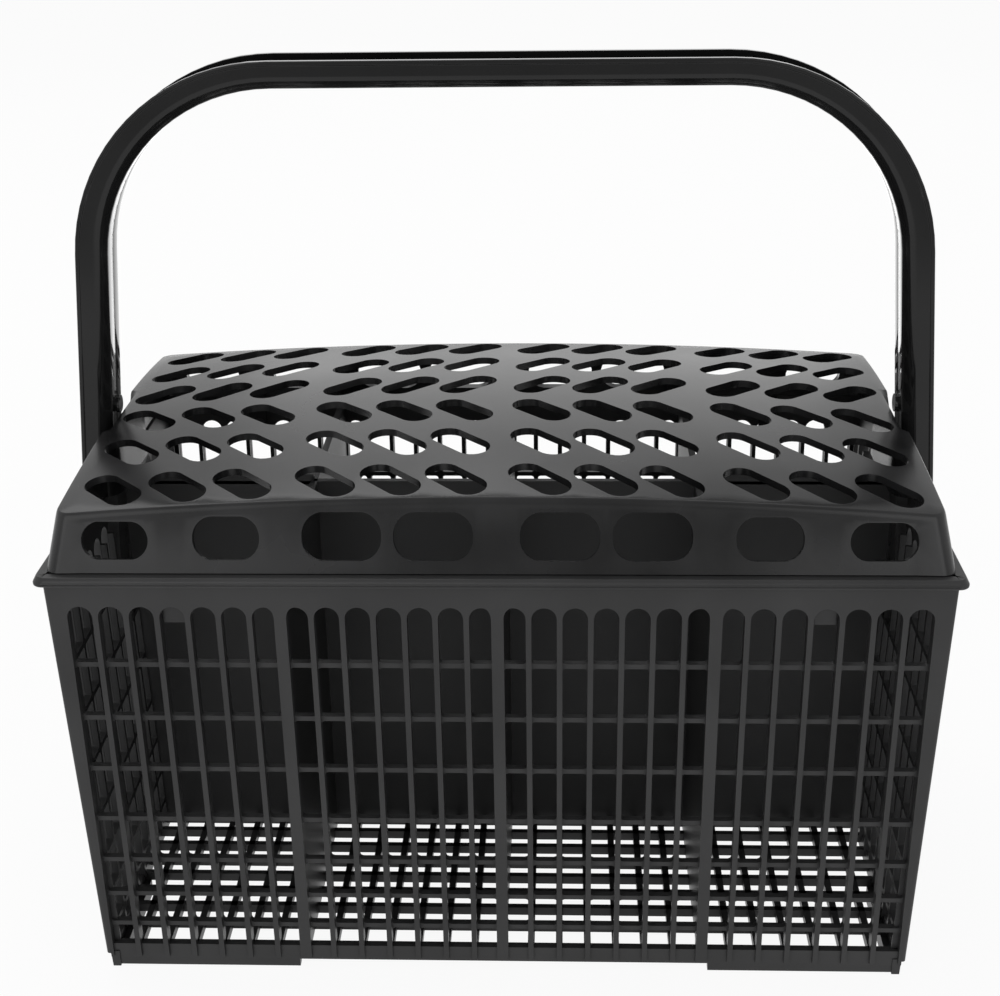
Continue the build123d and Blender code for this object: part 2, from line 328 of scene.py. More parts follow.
def plastic(name, tint, unevenness, roughness, spread, grain_scale, grain_depth, shine, coat=0.0):
    """Moulded plastic: slightly uneven colour and gloss with a fine moulded grain."""
    material = bpy.data.materials.new(name)
    material.use_nodes = True
    tree = material.node_tree
    link = tree.links.new
    shader = tree.nodes["Principled BSDF"]
    shader.inputs["Specular IOR Level"].default_value = shine
    shader.inputs["Coat Weight"].default_value = coat
    shader.inputs["Coat Roughness"].default_value = 0.08
    place = new_node(tree, "ShaderNodeTexCoord")

    flow = new_node(tree, "ShaderNodeTexNoise", {"Scale": 28.0, "Detail": 4.0})
    link(place.outputs["Object"], flow.inputs["Vector"])
    shades = new_node(tree, "ShaderNodeValToRGB")
    dark, light = shades.color_ramp.elements
    dark.position, light.position = 0.36, 0.64
    for stop, share in ((dark, 1 - unevenness), (light, 1 + unevenness)):
        stop.color = (*[min(part * share, 1.0) for part in tint], 1.0)
    link(flow.outputs["Fac"], shades.inputs["Fac"])
    link(shades.outputs["Color"], shader.inputs["Base Color"])

    gloss = new_node(tree, "ShaderNodeMapRange", {"To Min": roughness - spread, "To Max": roughness + spread})
    link(flow.outputs["Fac"], gloss.inputs["Value"])
    link(gloss.outputs["Result"], shader.inputs["Roughness"])

    grain = new_node(tree, "ShaderNodeTexNoise", {"Scale": grain_scale, "Detail": 3.0})
    link(place.outputs["Object"], grain.inputs["Vector"])
    bump = new_node(tree, "ShaderNodeBump", {"Strength": 0.25, "Distance": grain_depth})
    link(grain.outputs["Fac"], bump.inputs["Height"])
    link(bump.outputs["Normal"], shader.inputs["Normal"])
    return material


# Basket


def wall_half(sizes, height, inset=0.0):
    """Half of the length and of the depth between the leaning walls at a height."""
    drop = sizes.wall_height - height
    return (
        sizes.wall_width / 2 - drop * tan(sizes.side_draft) - inset,
        sizes.wall_depth / 2 - drop * tan(sizes.front_draft) - inset,
    )


def floor_bottom(sizes):
    """Height of the underside of the floor grid."""
    return sizes.floor_top - sizes.floor_thickness


def bay_length(sizes):
    """Length of one bay between two cross walls."""
    return sizes.long_windows // BAYS * sizes.pitch


def row_of_tiles(wall, sizes, windows, outlines, rib, broad):
    """A flat wall of like columns of tiles side by side, with broader ribs at some of the grid lines."""
    for outline in outlines:
        fill_outline(wall, [wall.verts.new((x, 0, z)) for x, z in outline])
    tile = wall.verts[:] + wall.edges[:] + wall.faces[:]
    for place in range(1, windows):
        copy = bmesh.ops.duplicate(wall, geom=tile)
        bmesh.ops.translate(wall, verts=new_verts(copy), vec=(place * sizes.pitch, 0, 0))
    bmesh.ops.translate(wall, verts=wall.verts, vec=((1 - windows) * sizes.pitch / 2, 0, 0))
    bmesh.ops.remove_doubles(wall, verts=wall.verts, dist=MERGE)
    reach = sizes.pitch / 2
    growth = (sizes.wide_rib - sizes.rib_width) / 2
    for line in broad:
        for vert in wall.verts:
            past = abs(vert.co.x - line)
            if rib - MERGE < past < reach:
                vert.co.x += copysign(growth * (reach - past) / (reach - rib), vert.co.x - line)


def stand_wall(bm, wall, sizes, front, depth, side):
    """Gives a flat wall its depth, leans it and joins it to the basket."""
    half, draft, turn = side
    pushed = bmesh.ops.extrude_face_region(wall, geom=wall.faces[:])
    bmesh.ops.translate(wall, verts=new_verts(pushed), vec=(0, depth, 0))
    ends = [v for v in wall.verts if v.co.z < sizes.rib_foot + MERGE and v.co.y < MERGE]
    bmesh.ops.translate(wall, verts=ends, vec=(0, 0, depth / 2))
    bmesh.ops.recalc_face_normals(wall, faces=wall.faces)
    slope = tan(draft)
    lean = Matrix.Identity(4)
    lean[1][2] = -slope
    lean[1][3] = slope * sizes.wall_height - half + front
    bmesh.ops.transform(wall, verts=wall.verts, matrix=Matrix.Rotation(turn, 4, "Z") @ lean)
    join(bm, wall)


def quarter(middle_x, middle_z, radius, start, steps):
    """Points along a quarter of a circle, anticlockwise from a direction in quarter turns."""
    ways = [(start + step / steps) * pi / 2 for step in range(steps + 1)]
    return [(middle_x + radius * cos(way), middle_z + radius * sin(way)) for way in ways]


def rib_wall(bm, sizes, windows, side, broad):
    """The front layer of a wall: round-topped windows between ribs that end free at the bottom."""
    steps = 5
    wall = bmesh.new()
    gap = (sizes.pitch - sizes.rib_width) / 2
    spring = sizes.arch_top - gap
    outer = sizes.pitch / 2
    outline = quarter(0, spring, gap, 0, steps)[:-1] + quarter(0, spring, gap, 1, steps)
    corners = [(-gap, sizes.rib_foot), (-outer, sizes.rib_foot), (-outer, sizes.wall_height)]
    outline += corners + [(-x, z) for x, z in reversed(corners)]
    row_of_tiles(wall, sizes, windows, [outline], sizes.rib_width / 2, broad)
    stand_wall(bm, wall, sizes, 0.0, sizes.rib_depth, side)


def bar_wall(bm, sizes, windows, side, broad):
    """The rear layer of a wall: bars across the backs of the ribs, closer together near the floor."""
    levels = (0.0136, 0.024, 0.0357, 0.0495, 0.0659, 0.0821, 0.0985)
    behind_rib = 0.0001
    below_floor = 0.001
    steps = 2
    outer = sizes.pitch / 2
    rib = sizes.rib_width / 2 - behind_rib
    gap = outer - rib
    radius = sizes.window_corner
    bend = gap - radius
    between = [(low + sizes.bar_height + high) / 2 for low, high in zip(levels, levels[1:])]
    between = [sizes.floor_top - below_floor, *between, sizes.arch_top - gap]
    outlines = []
    for level, below, above in zip(levels, between, between[1:]):
        under, over = level - radius, level + sizes.bar_height + radius
        outline = [(outer, below), (gap, below)]
        outline += quarter(bend, under, radius, 0, steps) + quarter(-bend, under, radius, 1, steps)
        outline += [(-gap, below), (-outer, below), (-outer, above), (-gap, above)]
        outline += quarter(-bend, over, radius, 2, steps) + quarter(bend, over, radius, 3, steps)
        outline += [(gap, above), (outer, above)]
        outlines.append(outline)
    wall = bmesh.new()
    row_of_tiles(wall, sizes, windows, outlines, rib, broad)
    stand_wall(bm, wall, sizes, sizes.rib_depth - sizes.edge, sizes.bar_depth, side)


def corner_posts(bm, sizes):
    """Angled posts with a rounded edge that close the corners between the rows of windows."""
    lift = 0.002
    rounding = 0.0009
    steps = 4
    grid_x, grid_y = sizes.long_windows * sizes.pitch / 2, sizes.side_windows * sizes.pitch / 2
    for x_way, y_way in CORNERS:
        post = bmesh.new()
        rings = []
        for height in (sizes.rib_foot + lift, sizes.wall_height):
            x, y = wall_half(sizes, height)
            inner_x, inner_y = wall_half(sizes, height, sizes.rib_depth)
            outline = [(grid_x, y), (x, y), (x, grid_y)]
            outline += [(inner_x, grid_y), (inner_x, inner_y), (grid_x, inner_y)]
            rings.append([post.verts.new((x_way * px, y_way * py, height)) for px, py in outline])
        foot, head = [fill_outline(post, ring) for ring in rings]
        bmesh.ops.bridge_loops(post, edges=foot.edges[:] + head.edges[:])
        outer_edge = post.edges.get((rings[0][1], rings[1][1]))
        round_off(post, [outer_edge], rounding, steps)
        bmesh.ops.recalc_face_normals(post, faces=post.faces)
        join(bm, post)


def ring_of_bars(bm, sizes, bottom, top, inset, depth):
    """Four bars along the walls, between two heights, behind the outer faces by an inset."""
    low_x, low_y = wall_half(sizes, bottom, inset)
    high_x, high_y = wall_half(sizes, top, inset)
    for way in SIDES:
        block(
            bm, mirrored(low_x), on_side(way, low_y, low_y - depth), (bottom, top),
            x_top=mirrored(high_x), y_top=on_side(way, high_y, high_y - depth),
        )
        block(
            bm, on_side(way, low_x, low_x - depth), mirrored(low_y - depth / 2), (bottom, top),
            x_top=on_side(way, high_x, high_x - depth), y_top=mirrored(high_y - depth / 2),
        )


def floor_grid(bm, sizes):
    """Crossing floor bars and the rail round them."""
    ledge = 0.001
    bottom = floor_bottom(sizes)
    half_x, half_y = wall_half(sizes, bottom, sizes.rib_depth)
    level = (bottom, sizes.floor_top)
    for i in range(1, sizes.long_windows):
        place = (i - sizes.long_windows / 2) * sizes.pitch
        block(bm, spans(place, sizes.floor_bar), mirrored(half_y), level)
    for i in range(1, sizes.side_windows):
        place = (i - sizes.side_windows / 2) * sizes.floor_pitch
        block(bm, mirrored(half_x), spans(place, sizes.floor_bar), level)
    depth = sizes.rib_depth + ledge - sizes.rail_inset
    ring_of_bars(bm, sizes, sizes.rib_foot, sizes.floor_top, sizes.rail_inset, depth)


def inner_walls(bm, sizes):
    """The long middle wall, raised in the outer bays, and the cross walls that make the compartments."""
    root = 0.001
    below_rim = 0.0003
    short_of_end = 0.004
    bottom = floor_bottom(sizes)
    low_x, low_y = wall_half(sizes, bottom, sizes.rib_depth / 2)
    high_x, high_y = wall_half(sizes, sizes.wall_height, sizes.rib_depth / 2)
    level = (bottom, sizes.wall_height)
    middle = mirrored(sizes.inner_wall / 2)
    bay = bay_length(sizes)
    block(bm, mirrored(low_x), middle, level, x_top=mirrored(high_x))
    for place in (-bay, 0, bay):
        block(bm, spans(place, sizes.inner_wall), mirrored(low_y), level, y_top=mirrored(high_y))
    raised = (sizes.wall_height - root, rim_corner.z - below_rim)
    for way in SIDES:
        block(bm, on_side(way, bay, high_x - short_of_end), middle, raised)


def rim_flange(bm, sizes):
    """Flange round the top, with a bead and a slope along its outer edge and gaps for the handle legs."""
    corner, corner_steps = 0.003, 6
    rounding, rounding_steps = 0.00025, 3
    slope_zone, rounding_zone = 0.0031, 0.004
    sharp = 1.0  # radians between two faces
    gap = handle_half_depth() + LEG_CLEARANCE

    def outermost(vert, zone):
        return abs(vert.co.x) > rim_corner.x - zone or abs(vert.co.y) > rim_corner.y - zone

    def to_round(edge):
        start, end = [vert.co for vert in edge.verts]
        level = abs(start.z - end.z) < MERGE
        at_gap = abs(start.y - end.y) <= MERGE and abs(abs(start.y) - gap) <= MERGE
        along_rim = level and not at_gap and all(outermost(vert, rounding_zone) for vert in edge.verts)
        return along_rim and edge.calc_face_angle(0) > sharp

    rim = bmesh.new()
    bmesh.ops.create_grid(rim, x_segments=1, y_segments=1, size=1.0)
    bmesh.ops.scale(rim, verts=rim.verts, vec=(rim_corner.x, rim_corner.y, 1))
    bmesh.ops.translate(rim, verts=rim.verts, vec=(0, 0, sizes.wall_height))
    round_off(rim, rim.verts[:], corner, corner_steps, "VERTICES")
    middle = rim.faces[:]
    width = rim_corner.x - wall_half(sizes, sizes.wall_height, sizes.rib_depth)[0]
    bmesh.ops.inset_region(rim, faces=middle, thickness=width, use_even_offset=True, use_boundary=True)
    bmesh.ops.delete(rim, geom=middle, context="FACES")
    for way in SIDES:
        everything = rim.verts[:] + rim.edges[:] + rim.faces[:]
        bmesh.ops.bisect_plane(rim, geom=everything, plane_co=(0, way * gap, 0), plane_no=(0, 1, 0))
    in_gap = [face for face in rim.faces if abs(face.calc_center_median().y) < gap]
    bmesh.ops.delete(rim, geom=in_gap, context="FACES")
    bead = bmesh.ops.extrude_face_region(rim, geom=rim.faces[:])
    bmesh.ops.translate(rim, verts=new_verts(bead), vec=(0, 0, sizes.rim_bead))
    top = new_verts(bmesh.ops.extrude_face_region(rim, geom=new_faces(bead)))
    bmesh.ops.translate(rim, verts=top, vec=(0, 0, rim_corner.z - sizes.wall_height - sizes.rim_bead))
    shrink = (1 - sizes.rim_slope / rim_corner.x, 1 - sizes.rim_slope / rim_corner.y, 1)
    bmesh.ops.scale(rim, verts=[vert for vert in top if outermost(vert, slope_zone)], vec=shrink)
    bmesh.ops.recalc_face_normals(rim, faces=rim.faces)
    round_off(rim, [edge for edge in rim.edges if to_round(edge)], rounding, rounding_steps)
    join(bm, rim)


def feet(bm, sizes):
    """Foot strips under the outer bays with a return along each side, and a small foot at each corner."""
    wall = 0.0022
    lift = 0.0004
    short_of_end = 0.002
    return_length = 0.034
    toe_inside, toe_outside, toe_outside_top = 0.0006, 0.0016, 0.0019
    toe_behind, toe_before = 0.003, 0.0004
    half_x, half_y = wall_half(sizes, sizes.rib_foot, sizes.rail_inset)
    top = floor_bottom(sizes)
    inner_end = bay_length(sizes) + sizes.pitch / 4
    outer_end = half_x - short_of_end
    reach = half_y - return_length
    outline = [
        (inner_end, half_y), (outer_end, half_y), (outer_end, reach), (outer_end - wall, reach),
        (outer_end - wall, half_y - wall), (inner_end, half_y - wall),
    ]
    for x_way, y_way in CORNERS:
        prism(bm, [(x_way * x, y_way * y, lift) for x, y in outline], (0, 0, top - lift))
        block(
            bm,
            on_side(x_way, outer_end - toe_inside, outer_end + toe_outside),
            on_side(y_way, half_y - toe_behind, half_y + toe_before),
            (0, top),
            x_top=on_side(x_way, outer_end - toe_inside, outer_end + toe_outside_top),
        )


def handle_seats(bm, sizes):
    """Recessed seats in the short walls that take the handle legs."""
    height = 0.04
    wall = 0.0024
    cheek = 0.0045
    tuck = 0.0004
    handle = bpy.context.scene.handle_sizes
    half = handle_half_depth()
    bottom, top = sizes.wall_height - height, rim_corner.z
    back_low, back_high = [leg_inside(handle, z) - LEG_CLEARANCE for z in (bottom, top)]
    front_low, front_high = [wall_half(sizes, z)[0] for z in (bottom, top)]
    inner_low, inner_high = wall_half(sizes, bottom, sizes.rib_depth)[0], back_high - wall
    for way in SIDES:
        block(
            bm,
            on_side(way, inner_low + tuck, min(back_low, front_low)),
            mirrored(half + cheek - tuck),
            (bottom + tuck, top - tuck),
            x_top=on_side(way, inner_high + tuck, back_high),
        )
        for side in SIDES:
            block(
                bm,
                on_side(way, inner_low, front_low),
                on_side(side, half + LEG_CLEARANCE, half + cheek),
                (bottom, top),
                x_top=on_side(way, inner_high, front_high),
            )


class BASKET_OT_basket(Operator):
    """Build the grid basket with its rim, floor, compartment walls and feet"""

    bl_idname = "cutlery.basket"
    bl_label = "Basket"

    def execute(self, context):
        sizes = context.scene.basket_sizes
        bm = bmesh.new()
        half_x, half_y = wall_half(sizes, sizes.wall_height)
        bay = bay_length(sizes)
        for turn in (0, pi):
            for windows, side, broad in (
                (sizes.long_windows, (half_y, sizes.front_draft, turn), (-bay, 0, bay)),
                (sizes.side_windows, (half_x, sizes.side_draft, turn + pi / 2), (0,)),
            ):
                rib_wall(bm, sizes, windows, side, broad)
                bar_wall(bm, sizes, windows, side, broad)
        corner_posts(bm, sizes)
        floor_grid(bm, sizes)
        inner_walls(bm, sizes)
        feet(bm, sizes)
        handle_seats(bm, sizes)
        bmesh.ops.recalc_face_normals(bm, faces=bm.faces)
        rim_flange(bm, sizes)
        material = plastic(
            "basket_plastic_dressed", context.scene.basket_finish.basket, unevenness=0.15, roughness=0.4,
            spread=0.05, grain_scale=2200.0, grain_depth=0.00004, shine=0.28,
        )
        finish_piece(bm, "basket", "basket", material, sizes.edge, steps=1)
        return {"FINISHED"}


# Lid

SLOTS = 3  # in one row of a bay
ROWS = 6  # of slots across the lid
STEPS = 6  # of the lattice along and across each slot
BAY_LINES = SLOTS * STEPS + 1
OVAL_EDGES = 4 * STEPS
OPENING_STEPS = 8  # of the lattice along each opening of the skirt

# Openings in a quarter of the skirt: first lattice line, bay pitches to the middle of the bay, place beside
# that, drop below the usual level, and the oval's radius, reach along the skirt and rise
SKIRT_OPENINGS = (
    (40, 0.5, -0.0117, 0.0, (0.0056, 0.0046, 0.0004)),
    (48, 0.5, 0.0117, 0.0, (0.0056, 0.0046, 0.0004)),
    (58, 1.5, -0.0143, 0.0005, (0.0052, 0.0034, 0.0002)),
    (68, 1.5, 0.0143, 0.0011, (0.0047, 0.0039, 0.0)),
)


def crown_height(sizes, x, y):
    """Height of the lid's crowned top above a point."""
    long_drop = sizes.long_radius - sqrt(sizes.long_radius**2 - x**2)
    short_drop = sizes.short_radius - sqrt(sizes.short_radius**2 - y**2)
    return lid_corner_high.z - long_drop - short_drop


def skirt_half(sizes, height):
    """Half of the skirt's length and depth at a height."""
    rise = height - sizes.bottom
    return sizes.half_width - rise * tan(sizes.side_lean), sizes.half_depth - rise * tan(sizes.front_lean)


def lattice_lines(sizes):
    """Lines along and across the lid between which its slots lie, in even steps."""
    cell = (sizes.bay_pitch - sizes.bay_web) / SLOTS
    bays = [(i - (BAYS - 1) / 2) * sizes.bay_pitch - SLOTS / 2 * cell for i in range(BAYS)]
    inside = [start + step * cell / STEPS for start in bays for step in range(BAY_LINES)]
    edge = inside[-1] + sizes.bay_web / 2
    rows = [step * sizes.row_pitch / STEPS for step in range(2 * STEPS + 1)]
    rows += [rows[-1] + (sizes.edge_depth - rows[-1]) * step / STEPS for step in range(1, STEPS + 1)]
    return [-edge, *inside, edge], [-row for row in reversed(rows[1:])] + rows


def oval(bm, radius, reach, rise=0.0):
    """A ring of edges in the XY plane: a circle pulled apart along x and y."""
    half_edge = Matrix.Rotation(pi / OVAL_EDGES, 4, "Z")
    ring = bmesh.ops.create_circle(bm, cap_ends=False, segments=OVAL_EDGES, radius=radius, matrix=half_edge)
    for vert in ring["verts"]:
        vert.co.x += reach if vert.co.x > 0 else -reach
        vert.co.y += rise if vert.co.y > 0 else -rise
    return ring["verts"]


def ring_edges(verts):
    """The edges of a ring of vertices."""
    return list(dict.fromkeys(edge for vert in verts for edge in vert.link_edges))


def within(place, cell, margin):
    """Whether a point lies in a cell of the lattice that is widened by a margin."""
    left, right, near, far = cell
    return left - margin < place.x < right + margin and near - margin < place.y < far + margin


def slotted_top(bm, sizes):
    """Flat field of slots: a lattice whose cells are each bridged to a slot."""
    slant = 0.0007
    half = 0.5
    columns, rows = lattice_lines(sizes)
    bmesh.ops.create_grid(bm, x_segments=len(columns) - 1, y_segments=len(rows) - 1, size=half)
    slanted = {}
    for vert in bm.verts:
        column = round((vert.co.x + half) * (len(columns) - 1))
        row = round((vert.co.y + half) * (len(rows) - 1))
        vert.co.x, vert.co.y = columns[column], rows[row]
        if 0 < column < len(columns) - 1 and (column - 1) % BAY_LINES % STEPS == 0:
            slanted[vert] = (column, row)
    starts = [1 + BAY_LINES * bay + STEPS * slot for bay in range(BAYS) for slot in range(SLOTS)]
    cells = [
        (columns[first], columns[first + STEPS], rows[STEPS * row], rows[STEPS * (row + 1)])
        for first in starts
        for row in range(ROWS)
    ]
    inside = [vert for cell in cells for vert in bm.verts if within(vert.co, cell, -MERGE)]
    bmesh.ops.delete(bm, geom=inside, context="VERTS")
    lattice = [(edge, (edge.verts[0].co + edge.verts[1].co) / 2) for edge in bm.edges]
    borders = [[edge for edge, middle in lattice if within(middle, cell, MERGE)] for cell in cells]
    reach = (sizes.slot_length - sizes.slot_width) / 2
    for (left, right, near, far), border in zip(cells, borders):
        slot = oval(bm, sizes.slot_width / 2, reach)
        way = 1 if near > -MERGE else -1
        row = round(abs(near + far) / 2 / sizes.row_pitch - 0.5)
        centre = Vector(((left + right) / 2, way * (row + 0.5) * sizes.row_pitch, -sizes.slot_width))
        bmesh.ops.rotate(bm, verts=slot, cent=(0, 0, 0), matrix=Matrix.Rotation(way * pi / 4, 3, "Z"))
        bmesh.ops.translate(bm, verts=slot, vec=centre)
        bmesh.ops.bridge_loops(bm, edges=border + ring_edges(slot))
        bmesh.ops.translate(bm, verts=slot, vec=(0, 0, sizes.slot_width))
    for vert, (column, row) in slanted.items():
        step = row % STEPS
        if vert.is_valid and step not in (0, STEPS // 2):
            shift = copysign(slant, (step - STEPS // 2) * vert.co.y)
            outermost = column in (1, len(columns) - 2) and shift * vert.co.x > 0
            vert.co.x += shift / 2 if outermost else shift
    return columns, rows


class LidEdge:
    """Follows the lid's border from the slotted top over the rounded edge and down the skirt."""

    def __init__(self, sizes, columns, rows):
        self.sizes = sizes
        self.edge = (columns[-1], rows[-1])
        self.turn_start = (columns[-2], rows[-2])

    def heading(self, x, y):
        """Direction in which the border faces at a place of the flat field, for one quarter of the lid."""
        if y >= self.edge[1] - MERGE:
            share = max(0.0, (x - self.turn_start[0]) / (self.edge[0] - self.turn_start[0]))
            return pi / 2 - share * pi / 4
        share = max(0.0, (y - self.turn_start[1]) / (self.edge[1] - self.turn_start[1]))
        return share * pi / 4

    def at(self, place, height, step=0.0):
        """Point of the skirt's outer face at a height, on the long sides a step behind it."""
        sizes = self.sizes
        x, y = abs(place.x), abs(place.y)
        half = skirt_half(sizes, height)
        way = self.heading(x, y)
        if way == pi / 2:
            eased = step / 3 if x > self.turn_start[0] - MERGE else step
            flat = (x, half[1] - eased)
        elif way > 0:
            flat = (half[0] + (cos(way) - 1) * sizes.corner, half[1] + (sin(way) - 1) * sizes.corner)
        else:
            past = max(0.0, y - sizes.pocket_half + sizes.pocket_corner)
            pocket = half[0]
            if past < sizes.pocket_corner:
                pocket = sizes.pocket_face + sizes.pocket_corner - sqrt(sizes.pocket_corner**2 - past**2)
            flat = (min(half[0], pocket), y)
        return Vector((flat[0] * (1 if place.x > 0 else -1), flat[1] * (1 if place.y > 0 else -1), height))

    def crest(self, place):
        """Point where the top and the skirt would meet in a sharp edge."""
        tries = 6
        point = self.at(place, self.sizes.bottom)
        for _ in range(tries):
            point = self.at(place, crown_height(self.sizes, point.x, point.y))
        return point

    def rounded(self, place, share):
        """Point on the rounded edge, from the top at 0 to the skirt at 1."""
        crest = self.crest(place)
        way = self.heading(abs(place.x), abs(place.y))
        back = Vector((cos(way) * (1 if place.x > 0 else -1), sin(way) * (1 if place.y > 0 else -1), 0))
        top = crest - back * self.sizes.edge_round
        top.z = crown_height(self.sizes, top.x, top.y)
        side = self.at(place, crest.z - self.sizes.edge_drop)
        return top * (1 - share) ** 2 + crest * 2 * share * (1 - share) + side * share**2


def pushed_border(bm, edges, layer, where):
    """Extrudes a border and puts each new vertex where a function of its place in the flat field says."""
    verts, border = pushed_edges(bm, edges)
    for vert in verts:
        vert.co = where(Vector(vert[layer]))
    return border


def skirt_opening(bm, sizes, stretch, way, low, ring_sizes, centre):
    """Opens a stretch of the front or rear skirt and bridges it to an oval ring."""
    radius, reach, rise = ring_sizes
    gone = []
    for face in bm.faces:
        middle = face.calc_center_median()
        in_stretch = stretch[0] < middle.x < stretch[1] and way * middle.y > sizes.edge_depth
        if in_stretch and middle.z > low and min(vert.co.z for vert in face.verts) < low + MERGE:
            gone.append(face)
    border = dict.fromkeys(e for f in gone for e in f.edges if sum(g in gone for g in e.link_faces) == 1)
    bmesh.ops.delete(bm, geom=gone, context="FACES")
    ring = oval(bm, radius, reach, rise)
    for vert in ring:
        height = centre[1] + vert.co.y
        face = skirt_half(sizes, height)[1] - sizes.panel_step
        vert.co = (centre[0] + vert.co.x, way * (face + radius), height)
    bmesh.ops.bridge_loops(bm, edges=[e for e in border if e.is_valid] + ring_edges(ring))
    bmesh.ops.translate(bm, verts=ring, vec=(0, -way * radius, 0))


def skirt(bm, sizes, columns, rows):
    """Rounded edge and leaning skirt with oval openings along its front and rear."""
    step_height = 0.0006
    lip = 0.0014
    opening_rise = 0.0091
    cuts = 6
    edge = LidEdge(sizes, columns, rows)

    def on_border(vert):
        return abs(vert.co.x) > edge.edge[0] - MERGE or abs(vert.co.y) > edge.edge[1] - MERGE

    def outer_edges():
        return [e for e in bm.edges if len(e.link_faces) == 1 and all(on_border(v) for v in e.verts)]

    step = sizes.row_pitch / STEPS
    pocket_start = int((sizes.pocket_half - sizes.pocket_corner) / step + 1) * step
    turning = []
    for e in outer_edges():
        middle = (e.verts[0].co + e.verts[1].co) / 2
        along_side = abs(middle.x) > edge.edge[0] - MERGE
        corner = abs(middle.x) > edge.turn_start[0] and abs(middle.y) > edge.turn_start[1]
        if corner or along_side and pocket_start < abs(middle.y) < pocket_start + step:
            turning.append(e)
    bmesh.ops.subdivide_edges(bm, edges=turning, cuts=cuts)
    layer = bm.verts.layers.float_vector.new("place")
    for vert in bm.verts:
        vert[layer] = vert.co
    border = outer_edges()
    for vert in bm.verts:
        x, y = vert.co.xy
        vert.co = edge.rounded(vert.co, 0) if on_border(vert) else (x, y, crown_height(sizes, x, y))
    for share in (0.25, 0.5, 0.75, 1.0):
        border = pushed_border(bm, border, layer, lambda place: edge.rounded(place, share))
    drop = sizes.edge_drop + step_height
    border = pushed_border(
        bm, border, layer, lambda place: edge.at(place, edge.crest(place).z - drop, sizes.panel_step)
    )
    low = sizes.bottom + lip
    for height in (low, sizes.bottom):
        border = pushed_border(bm, border, layer, lambda place: edge.at(place, height, sizes.panel_step))
    for x_way, y_way in CORNERS:
        for first, bays, beside, sunk, ring_sizes in SKIRT_OPENINGS:
            stretch = on_side(x_way, columns[first], columns[first + OPENING_STEPS])
            centre = (x_way * (bays * sizes.bay_pitch + beside), sizes.bottom + opening_rise - sunk)
            skirt_opening(bm, sizes, stretch, y_way, low, ring_sizes, centre)


def lid_tongues(bm, sizes):
    """Tongues that hang inside the front and rear walls, as thin as the shell."""
    width = 0.0055
    overlap = 0.004
    clearance = 0.0003
    windows_out = 10.5
    basket = bpy.context.scene.basket_sizes
    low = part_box("lid")[0].z
    high = sizes.bottom + overlap
    face = wall_half(basket, low, basket.rib_depth + clearance)[1]
    for x_way, y_way in CORNERS:
        left, right = spans(x_way * windows_out * basket.pitch, width)
        corners = [(left, low), (right, low), (right, high), (left, high)]
        tongue = fill_outline(bm, [bm.verts.new((x, y_way * face, z)) for x, z in corners[::-y_way]])
        if tongue.normal.y * y_way < 0:
            tongue.normal_flip()


class BASKET_OT_lid(Operator):
    """Build the crowned lid with its slots, pierced skirt, pockets and tongues"""

    bl_idname = "cutlery.lid"
    bl_label = "Lid"

    def execute(self, context):
        sizes = context.scene.lid_sizes
        bm = bmesh.new()
        columns, rows = slotted_top(bm, sizes)
        skirt(bm, sizes, columns, rows)
        bmesh.ops.remove_doubles(bm, verts=bm.verts, dist=MERGE)
        bmesh.ops.recalc_face_normals(bm, faces=bm.faces)
        lid_tongues(bm, sizes)
        bmesh.ops.remove_doubles(bm, verts=bm.verts, dist=MERGE)
        material = plastic(
            "lid_plastic_dressed", context.scene.basket_finish.lid, unevenness=0.6, roughness=0.25,
            spread=0.09, grain_scale=1800.0, grain_depth=0.00003, shine=0.4,
        )
        finish_piece(bm, "lid", "lid", material, sizes.edge, steps=2, wall=sizes.wall)
        return {"FINISHED"}


# Handle


def handle_half_depth():
    """Half of the handle's depth over its flanges."""
    return bpy.context.scene.handle_sizes.depth / 2


def leg_inside(sizes, height):
    """Distance of a leg's inner face from the middle at a height."""
    return sizes.leg_inside - tan(sizes.lean) * (height - bpy.context.scene.basket_sizes.wall_height)


def handle_stations(sizes):
    """Pairs of points inside and outside the arch, from the middle of the bar down to the foot."""
    steps = 18
    leg_middle = 0.16
    kink = 0.0015
    rim = bpy.context.scene.basket_sizes.wall_height
    top = handle_high.z
    bar_bottom = top - sizes.bar
    outside = handle_high.x
    outside_top = outside - tan(sizes.lean) * (top - rim)
    turn = pi / 2 - sizes.lean
    inner_x = leg_inside(sizes, bar_bottom) - sizes.inner_bend * tan(turn / 2)
    inner_z = bar_bottom - sizes.inner_bend
    outer_x = outside_top - sizes.outer_bend * tan(turn / 2)
    outer_z = top - sizes.outer_bend
    yield (0.0, bar_bottom), (0.0, top)
    for step in range(steps + 1):
        way = turn * step / steps
        yield (
            (inner_x + sizes.inner_bend * sin(way), inner_z + sizes.inner_bend * cos(way)),
            (outer_x + sizes.outer_bend * sin(way), outer_z + sizes.outer_bend * cos(way)),
        )
    for height in (leg_middle, rim + kink, rim - kink, handle_low.z + sizes.foot_round):
        lean_out = outside - tan(sizes.lean) * max(0.0, height - rim)
        yield (leg_inside(sizes, height), height), (lean_out, height)


